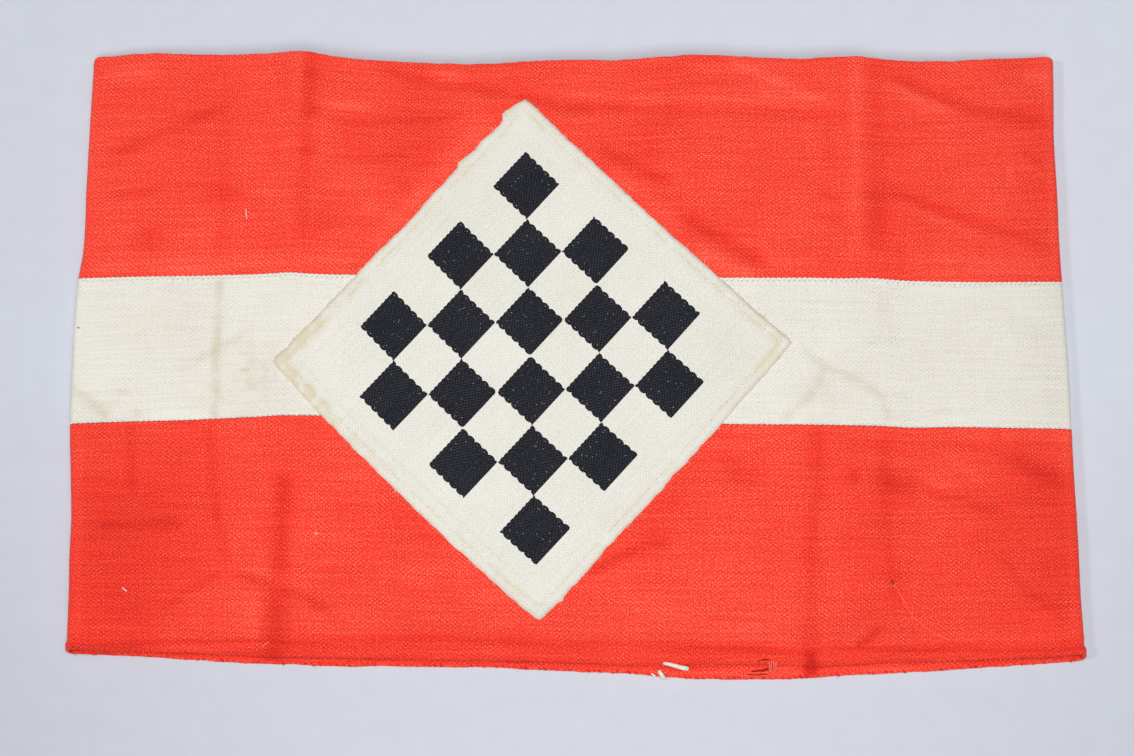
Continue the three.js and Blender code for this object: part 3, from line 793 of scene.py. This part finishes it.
# Pale flecks: specks of ground thread between the scallops and stray lint on the dark cells
flecks = np.random.default_rng(12)
fp, fq = [], []
for cp, cq in darkCentres:
    for edgeSide in (-1, 1):
        steps = np.arange(math.ceil((cq - 4.6) / 2), math.floor((cq + 4.6) / 2) + 1) * 2.0 + 1.0
        steps = steps[(np.abs(steps - cq) < 4.7) & (flecks.random(steps.shape) < 0.6)]
        fp.append(cp + edgeSide * (cell / 2 - 0.55) + 0 * steps)
        fq.append(steps)
    few = flecks.integers(6, 15)
    fp.append(cp + flecks.uniform(-4.5, 4.5, few))
    fq.append(cq + flecks.uniform(-4.5, 4.5, few))
at = onPatch(np.concatenate(fp), np.concatenate(fq), chequer["rise"] - 0.02)
way = flecks.normal(0, 1, at.shape) * [1, 1, 0.05]
way *= flecks.uniform(0.06, 0.17, (len(at), 1)) / np.linalg.norm(way, axis=1, keepdims=True)
fleckRadius = flecks.uniform(0.035, 0.085, len(at))
paleFlecks = shortThreads("paleFlecks", at - way, at + way, fleckRadius, 0.02, sides=5, sections=4)


# Loose ends, lint and the worn place in the hem, whose slits are dark red threads of painted shade: threads
# through points of the plan, each point with its height above the upper layer or, along the under layer's
# rim, above the floor
def aboveCloth(*points):
    return [(x, y, z + float(upperHeight(np.array(float(x)), np.array(float(y))))) for x, y, z in points]


looseEnds = longThreads("looseThreadEnds", [
    ([(19.4, -65.9, 2.75), (21.0, -66.2, 2.9), (22.8, -66.7, 2.7), (24.8, -67.1, 2.1)], 0.36, 0.54),
    ([(18.6, -67.5, 1.3), (18.9, -68.0, 1.5), (19.3, -68.6, 1.3), (19.8, -69.2, 0.7)], 0.4, 0.46),
    ([(17.0, -68.1, 1.0), (17.4, -68.4, 1.1), (17.8, -68.6, 0.9)], 0.16, 0.2),
])
lint = longThreads("lint", [
    (aboveCloth((-71.6, 31.8, 0.1), (-71.5, 30.8, 0.2), (-71.3, 29.7, 0.1)), 0.1, 0.09),
    (aboveCloth((-95.8, -50.4, 0.12), (-95.3, -50.8, 0.18), (-94.8, -51.2, 0.12)), 0.14, 0.12),
    (aboveCloth((-54.6, -38.9, 0.1), (-54.3, -38.9, 0.12), (-54.0, -39.1, 0.1)), 0.12, 0.1),
])
# Dark red threads of painted shade, standing for the darkness inside the worn slits
wornSlits = longThreads("wornSlits", [
    ([(38.3, -67.7, 0.85), (39.6, -67.5, 0.85), (40.9, -67.4, 0.85), (42.0, -67.1, 0.85)], 0.07, 0.22),
    ([(37.3, -68.2, 0.7), (39.0, -68.3, 0.7), (40.5, -68.3, 0.7), (41.8, -68.2, 0.7)], 0.07, 0.09),
    (aboveCloth((39.4, -65.6, 0.3), (40.4, -65.2, 0.35), (41.2, -65.1, 0.35), (42.0, -65.2, 0.3)), 0.1, 0.22),
])
bareThreads = [
    (aboveCloth((x, -65.0, 0.15)) + [(x + lean / 2, -66.3, 2.5), (x + lean, -67.7, 1.2)], 0.08, 0.07)
    for x, lean in ((42.0, 0.1), (42.5, -0.1), (42.9, 0.2), (43.4, 0.1))
]
faintThreads = longThreads("faintThreads", bareThreads + [
    ([(37.8, -67.95, 0.95), (39.2, -67.9, 1.0), (40.6, -67.9, 1.0), (42.0, -67.8, 0.95)], 0.05, 0.07),
    (aboveCloth((68.2, -49.2, 0.08), (70.3, -52.6, 0.12), (72.1, -55.7, 0.1)), 0.045, 0.04),
    (aboveCloth((72.1, -55.7, 0.1), (75.6, -58.6, 0.14), (80.6, -61.0, 0.1)), 0.045, 0.05),
    (aboveCloth((-66.0, -62.9, 0.3), (-65.3, -62.2, 0.35), (-64.4, -61.7, 0.3)), 0.1, 0.07),
    (aboveCloth((13.6, -54.5, 0.1), (13.9, -54.9, 0.15), (14.3, -55.1, 0.1)), 0.09, 0.07),
])
darkSpecks = longThreads("darkSpecks", [
    (aboveCloth((97.9, -34.9, 0.03), (98.1, -34.8, 0.06), (98.4, -34.9, 0.03)), 0.14, 0.12),
    (aboveCloth((67.6, -48.5, 0.02), (67.9, -48.8, 0.06), (68.1, -49.2, 0.02)), 0.26, 0.18),
    ([(-108.4, 6.15, 3.25), (-108.2, 6.1, 3.36), (-108.0, 6.1, 3.42)], 0.15, 0.15),
])
print("threads and stitches made")

# Looks: colours of each cloth from its hollows over its middle tone to its bright threads, its stain, its
# thread spacings in millimetres, and how much its weave, grain and uneven threads show. The darkest colour is
# painted shade for hollows and creases, the brightest a painted highlight on the threads
looks = {
    "redCloth": {
        "colours": [(0.60, 0.013, 0.0075), (0.985, 0.049, 0.0245), (1.0, 0.18, 0.118)],
        "stain": (0.55, 0.03, 0.016), "warp": 0.563, "weft": 0.438,
        "contrast": 0.27, "grain": 1.5, "streak": 0.48, "waver": 0.5, "sheen": 0.12,
    },
    "whiteCloth": {
        "colours": [(0.50, 0.46, 0.38), (0.805, 0.775, 0.70), (0.93, 0.92, 0.87)],
        "stain": (0.62, 0.54, 0.36), "warp": 0.563, "weft": 0.438,
        "contrast": 0.16, "grain": 0.75, "streak": 0.35, "waver": 0.5, "sheen": 0.12,
    },
    "patchCloth": {
        "colours": [(0.52, 0.49, 0.41), (0.81, 0.79, 0.725), (0.91, 0.90, 0.855)],
        "stain": (0.70, 0.62, 0.43), "warp": 0.45, "weft": 0.40,
        "contrast": 0.17, "grain": 0.7, "streak": 0.25, "waver": 0.4, "sheen": 0.12,
    },
    "darkWeft": {
        "colours": [(0.004, 0.004, 0.007), (0.013, 0.014, 0.020), (0.045, 0.05, 0.06)],
        "stain": (0.05, 0.05, 0.05), "warp": 0.50, "weft": 0.36,
        "contrast": 0.42, "grain": 1.5, "streak": 0.35, "waver": 0.5, "sheen": 0.04,
    },
}
middleTone = 0.55  # where the middle colour lies between hollow and bright thread
# Threads: their dark and light colour, and how fine the noise between the two is
threadLooks = {
    "creamThread": ((0.66, 0.63, 0.53), (0.86, 0.84, 0.76), 900),
    "whiteThread": ((0.72, 0.68, 0.60), (0.93, 0.91, 0.86), 900),
    "redThread": ((0.66, 0.018, 0.010), (0.98, 0.085, 0.052), 700),
    "needleMark": ((0.34, 0.24, 0.17), (0.62, 0.50, 0.40), 400),
    "greyThread": ((0.42, 0.40, 0.38), (0.62, 0.60, 0.56), 900),
    "seamShadow": ((0.56, 0.53, 0.51), (0.70, 0.67, 0.64), 900),
    "slitShadowRed": ((0.27, 0.005, 0.003), (0.46, 0.010, 0.006), 700),
    "paleRed": ((0.9, 0.17, 0.12), (1.0, 0.3, 0.23), 700),
    "brown": ((0.10, 0.03, 0.02), (0.26, 0.08, 0.045), 900),
}


# A shader node with its settings. Its inputs are given by place, as values or as sockets to link
def node(tree, kind, inputs=(), **settings):
    made = tree.nodes.new("ShaderNode" + kind)
    for name, value in settings.items():
        setattr(made, name, value)
    for place, value in dict(inputs).items():
        if isinstance(value, bpy.types.NodeSocket):
            tree.links.new(value, made.inputs[place])
        else:
            made.inputs[place].default_value = value
    return made


def maths(tree, operation, a, b=0.0, c=0.0):
    return node(tree, "Math", {0: a, 1: b, 2: c}, operation=operation).outputs[0]


# A value carried over from one range to another
def spread(tree, value, low, high, toLow=0.0, toHigh=1.0, **settings):
    ranges = {"Value": value, "From Min": low, "From Max": high, "To Min": toLow, "To Max": toHigh}
    return node(tree, "MapRange", ranges, **settings).outputs[0]


def noise(tree, place, scale, detail, roughness=0.5, **settings):
    inputs = {"Vector": place, "Scale": scale, "Detail": detail, "Roughness": roughness}
    return node(tree, "TexNoise", inputs, **settings).outputs


def mixed(tree, share, first, second, **settings):
    return node(tree, "Mix", {0: share, 6: first, 7: second}, data_type="RGBA", **settings).outputs[2]


# A material, its node tree and the inputs of its shader
def newMaterial(name, roughness, specular):
    material = bpy.data.materials.new(name)
    material.use_nodes = True
    shader = material.node_tree.nodes["Principled BSDF"].inputs
    shader["Roughness"].default_value = roughness
    shader["Specular IOR Level"].default_value = specular
    return material, material.node_tree, shader


def addBump(tree, shader, strength, distance, height):
    bump = node(tree, "Bump", {"Strength": strength, "Distance": distance, "Height": height})
    tree.links.new(bump.outputs[0], shader["Normal"])


weaveInputs = ("Warp Pitch", "Weft Pitch", "Contrast", "Grain", "Streak", "Waver")


# Group for plain weave on a thread map in millimetres. A sine across each kind of thread, multiplied, is
# positive where a warp thread lies on top and negative where a weft thread does; written as the two
# diagonal waves that make up this product, it can lean to one diagonal in places. Long thin noise makes
# uneven threads
def weaveGroup():
    tree = bpy.data.node_groups.new("plainWeave", "ShaderNodeTree")
    tree.interface.new_socket(name="Thread Map", in_out="INPUT", socket_type="NodeSocketVector")
    for name in weaveInputs:
        tree.interface.new_socket(name=name, in_out="INPUT", socket_type="NodeSocketFloat")
    for name in ("Tone", "Height"):
        tree.interface.new_socket(name=name, in_out="OUTPUT", socket_type="NodeSocketFloat")
    given = tree.nodes.new("NodeGroupInput").outputs

    # Noise on the thread map, stretched by a scale each way
    def layerNoise(scaleU, scaleV, layer, detail=1.0):
        inputs = {0: given["Thread Map"], 1: (scaleU, scaleV, 0), 2: (0, 0, layer)}
        place = node(tree, "VectorMath", inputs, operation="MULTIPLY_ADD").outputs[0]
        return noise(tree, place, 1.0, detail)

    # The same about zero
    def uneven(*layer):
        return maths(tree, "SUBTRACT", layerNoise(*layer)["Fac"], 0.5)

    colour = layerNoise(0.09, 0.09, 1, 3.0)["Color"]
    bend = node(tree, "VectorMath", {0: colour, 1: (0.5, 0.5, 0.5)}, operation="SUBTRACT").outputs[0]
    bend = node(tree, "VectorMath", {0: bend, 3: given["Waver"]}, operation="SCALE").outputs[0]
    bent = node(tree, "VectorMath", {0: given["Thread Map"], 1: bend}, operation="ADD").outputs[0]
    u, v = node(tree, "SeparateXYZ", {0: bent}).outputs[:2]
    warp = maths(tree, "DIVIDE", maths(tree, "MULTIPLY", u, math.pi), given["Warp Pitch"])
    weft = maths(tree, "DIVIDE", maths(tree, "MULTIPLY", v, math.pi), given["Weft Pitch"])
    lean = spread(tree, uneven(0.11, 0.14, 5), -0.16, 0.16, 0.4, 0.64)
    rising = maths(tree, "MULTIPLY", maths(tree, "COSINE", maths(tree, "SUBTRACT", warp, weft)), lean)
    falling = maths(tree, "COSINE", maths(tree, "ADD", warp, weft))
    falling = maths(tree, "MULTIPLY", falling, maths(tree, "SUBTRACT", 1.0, lean))
    product = maths(tree, "SUBTRACT", rising, falling)
    over = spread(tree, product, -0.45, 0.45, -0.5, 0.5, interpolation_type="SMOOTHSTEP")
    height = maths(tree, "POWER", maths(tree, "ABSOLUTE", product), 0.5)
    # The tone falls in the hollows between threads and rises on their crowns: painted shade and painted
    # highlight of the weave's relief
    plain = maths(tree, "ADD", maths(tree, "MULTIPLY", over, 0.9), maths(tree, "SUBTRACT", height, 0.64))
    strength = spread(tree, uneven(0.17, 0.2, 9), -0.15, 0.15, 0.5, 1.3)
    weaveTone = maths(tree, "MULTIPLY", maths(tree, "MULTIPLY", plain, strength), given["Contrast"])
    weftStreak, warpStreak = uneven(0.06, 1.7, 13, 2.0), uneven(1.4, 0.09, 17, 2.0)
    streaks = maths(tree, "MULTIPLY_ADD", warpStreak, 0.3, weftStreak)
    streaks = maths(tree, "MULTIPLY", streaks, given["Streak"])
    grain = maths(tree, "MULTIPLY", uneven(2.6, 3.0, 21), given["Grain"])
    tone = maths(tree, "ADD", maths(tree, "ADD", weaveTone, streaks), grain)
    made = tree.nodes.new("NodeGroupOutput").inputs
    tree.links.new(tone, made["Tone"])
    tree.links.new(maths(tree, "MULTIPLY_ADD", over, 0.25, height), made["Height"])
    return tree


plainWeave = weaveGroup()


# Cloth: the weave's tone, broad cloudiness and the painted light and shade of the creases and the hem choose
# a colour between hollow and bright thread, and yellowing is laid over it in patches
def clothMaterial(name, look):
    material, tree, shader = newMaterial(name, 0.92, 0.18)
    threadMap = node(tree, "UVMap", uv_map="threadMap").outputs[0]
    weave = node(tree, "Group", node_tree=plainWeave)
    for place in weaveInputs:
        weave.inputs[place].default_value = look[place.split()[0].lower()]
    tree.links.new(threadMap, weave.inputs["Thread Map"])
    cloud = noise(tree, threadMap, 0.045, 4.0, 0.55, noise_dimensions="2D")["Fac"]
    shade = node(tree, "Attribute", attribute_name="shade").outputs["Fac"]
    soil = node(tree, "Attribute", attribute_name="soil").outputs["Fac"]
    shade = maths(tree, "MULTIPLY_ADD", maths(tree, "SUBTRACT", cloud, 0.5), 0.22, shade)
    tone = maths(tree, "ADD", weave.outputs["Tone"], shade)
    ramp = node(tree, "ValToRGB", {0: maths(tree, "ADD", tone, middleTone)})
    stops = ramp.color_ramp.elements
    stops.new(middleTone)
    for stop, place, colour in zip(stops, (0.0, middleTone, 1.0), look["colours"]):
        stop.position, stop.color = place, (*colour, 1)
    patchy = noise(tree, threadMap, 0.3, 4.0, 0.6, noise_dimensions="2D")["Fac"]
    stained = maths(tree, "MULTIPLY", soil, spread(tree, patchy, 0.28, 0.62))
    stained = node(tree, "Clamp", {0: stained, 2: 0.8}).outputs[0]
    colour = mixed(tree, stained, ramp.outputs[0], (*look["stain"], 1))
    tree.links.new(colour, shader["Base Color"])
    addBump(tree, shader, 0.4, 0.00012, weave.outputs["Height"])
    shader["Sheen Weight"].default_value = look["sheen"]
    shader["Sheen Roughness"].default_value = 0.6
    return material


# Thread: a plain colour with fine noise along it
def threadMaterial(name, dark, light, scale):
    material, tree, shader = newMaterial(name, 0.85, 0.2)
    fine = noise(tree, node(tree, "TexCoord").outputs["Object"], scale, 2.0)["Fac"]
    colour = mixed(tree, spread(tree, fine, 0.32, 0.68), (*dark, 1), (*light, 1))
    tree.links.new(colour, shader["Base Color"])
    addBump(tree, shader, 0.3, 0.0001, fine)
    return material


materials = {name: clothMaterial(name, look) for name, look in looks.items()}
materials.update((name, threadMaterial(name, *look)) for name, look in threadLooks.items())
finishes = [
    (upperStrip, "redCloth", "red_cloth"), (lowerStrip, "redCloth", "red_cloth"),
    (middleStrip, "whiteCloth", "white_cloth"), (patchPiece, "patchCloth", "patch_cloth"),
    (darkCells, "darkWeft", "patch_cloth"), (seamBeads, "whiteThread", "white_cloth"),
    (seamShadeDashes, "seamShadow", "white_cloth"), (weltStitches, "whiteThread", "white_cloth"),
    (wornSlits, "slitShadowRed", "red_cloth"), (faintThreads, "paleRed", "red_cloth"),
    (darkSpecks, "brown", "red_cloth"), (rimFuzzThreads, "paleRed", "red_cloth"),
    (edgeFuzz, "creamThread", "patch_cloth"), (hemRopePiece, "redThread", "red_cloth"),
    (patchStitches, "creamThread", "patch_cloth"), (needleHoles, "needleMark", "patch_cloth"),
    (paleFlecks, "greyThread", "patch_cloth"), (looseEnds, "whiteThread", "white_cloth"),
    (lint, "creamThread", "white_cloth"),
]
for piece, material, slot in finishes:
    piece.data.materials.append(materials[material])
print("materials made")

for piece, solid, height, extras in (
    (upperStrip, "upper_strip", 0.050, []),
    (middleStrip, "middle_strip", 0.0325, [seamBeads, seamShadeDashes, weltStitches]),
    (lowerStrip, "lower_strip", 0.051, [hemRopePiece, wornSlits, rimFuzzThreads]),
):
    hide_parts(solid)
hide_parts("patch")

# Pale floor, a broad soft light above, smaller ones at the left and in front, and the camera almost
# straight above
studio = {
    "floor": (0.62, 0.645, 0.72), "sky": 0.1,
    "level": 1.02, "slope": 0.25, "darkest": 0.84, "lightest": 1.15, "grain": 0.07, "grainScale": 170.0,
    "cornerReach": 0.03, "cornerTone": -1.6, "cornerSlope": -80.0,
    # each light's place, size and power
    "lights": {
        "topLight": ((0.1, 0.05, 1.1), 0.9, 7.7), "leftLight": ((-0.75, 0.0, 0.75), 0.15, 2.25),
        "frontLight": ((0.08, -0.45, 0.9), 0.28, 3.35),
    },
}
floorMesh = bpy.data.meshes.new("paleFloor")
floorMesh.from_pydata([(-2, -2, 0), (2, -2, 0), (2, 2, 0), (-2, 2, 0)], [], [(0, 1, 2, 3)])
paleFloor = bpy.data.objects.new("paleFloor", floorMesh)
bpy.context.scene.collection.objects.link(paleFloor)
paleFloor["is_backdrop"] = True
board, tree, shader = newMaterial("paleBoard", 0.9, 0.1)
place = node(tree, "TexCoord").outputs["Object"]
x, y = node(tree, "SeparateXYZ", {0: place}).outputs[:2]
# The board is lighter towards the right and the back and a little darker towards its lower corners, which is
# painted light and shade, with a fine grain
below = maths(tree, "MAXIMUM", maths(tree, "MULTIPLY", y, -1.0), 0.0)
corner = maths(tree, "MINIMUM", maths(tree, "MULTIPLY", x, x), studio["cornerReach"])
depth = maths(tree, "MULTIPLY_ADD", below, studio["cornerSlope"], studio["cornerTone"])
corner = maths(tree, "MULTIPLY", corner, depth)
across = maths(tree, "MULTIPLY_ADD", x, studio["slope"], corner)
level = maths(tree, "ADD", maths(tree, "MULTIPLY_ADD", y, studio["slope"], studio["level"]), across)
level = maths(tree, "MAXIMUM", level, studio["darkest"])
grain = maths(tree, "SUBTRACT", noise(tree, place, studio["grainScale"], 4.0)["Fac"], 0.5)
level = maths(tree, "MULTIPLY_ADD", grain, studio["grain"], level)
level = maths(tree, "MINIMUM", level, studio["lightest"])
level = node(tree, "CombineXYZ", {0: level, 1: level, 2: level}).outputs[0]
shade = mixed(tree, 1.0, (*studio["floor"], 1), level, blend_type="MULTIPLY")
tree.links.new(shade, shader["Base Color"])
floorMesh.materials.append(board)
for name, (place, size, power) in studio["lights"].items():
    light = bpy.data.lights.new(name, "AREA")
    light.shape, light.size, light.size_y, light.energy = "RECTANGLE", size, size, power
    lamp = bpy.data.objects.new(name, light)
    lamp.location = place
    lamp.rotation_euler = (-Vector(place)).to_track_quat("-Z", "Y").to_euler()
    bpy.context.scene.collection.objects.link(lamp)
world = bpy.data.worlds.new("softRoom")
world.use_nodes = True
background = world.node_tree.nodes["Background"].inputs
background["Color"].default_value = (1.0, 1.0, 1.0, 1)
background["Strength"].default_value = studio["sky"]
bpy.context.scene.world = world

view = {
    "lens": 55, "sensor": 36, "nearest": 0.01, "place": (-1.23, -63.72, 376.22),
    "right": (1, 0.0032, 0.0005), "up": (-0.0032, 0.9877, 0.1564), "back": (0, -0.1564, 0.9877),
}
cameraData = bpy.data.cameras.new("photoCamera")
cameraData.lens, cameraData.sensor_width = view["lens"], view["sensor"]
cameraData.clip_start = view["nearest"]
camera = bpy.data.objects.new("photoCamera", cameraData)
turned = Matrix([view["right"], view["up"], view["back"]]).transposed().to_4x4()
camera.matrix_world = Matrix.Translation(Vector(view["place"]) * mm) @ turned
bpy.context.scene.collection.objects.link(camera)
bpy.context.scene.camera = camera
bpy.context.scene.view_settings.view_transform = "Standard"
print("studio made")

bpy.context.view_layer.update()
{"cad": [list(map(float, corner)) for corner in cadBox], "visual": [list(map(float, corner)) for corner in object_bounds()]}
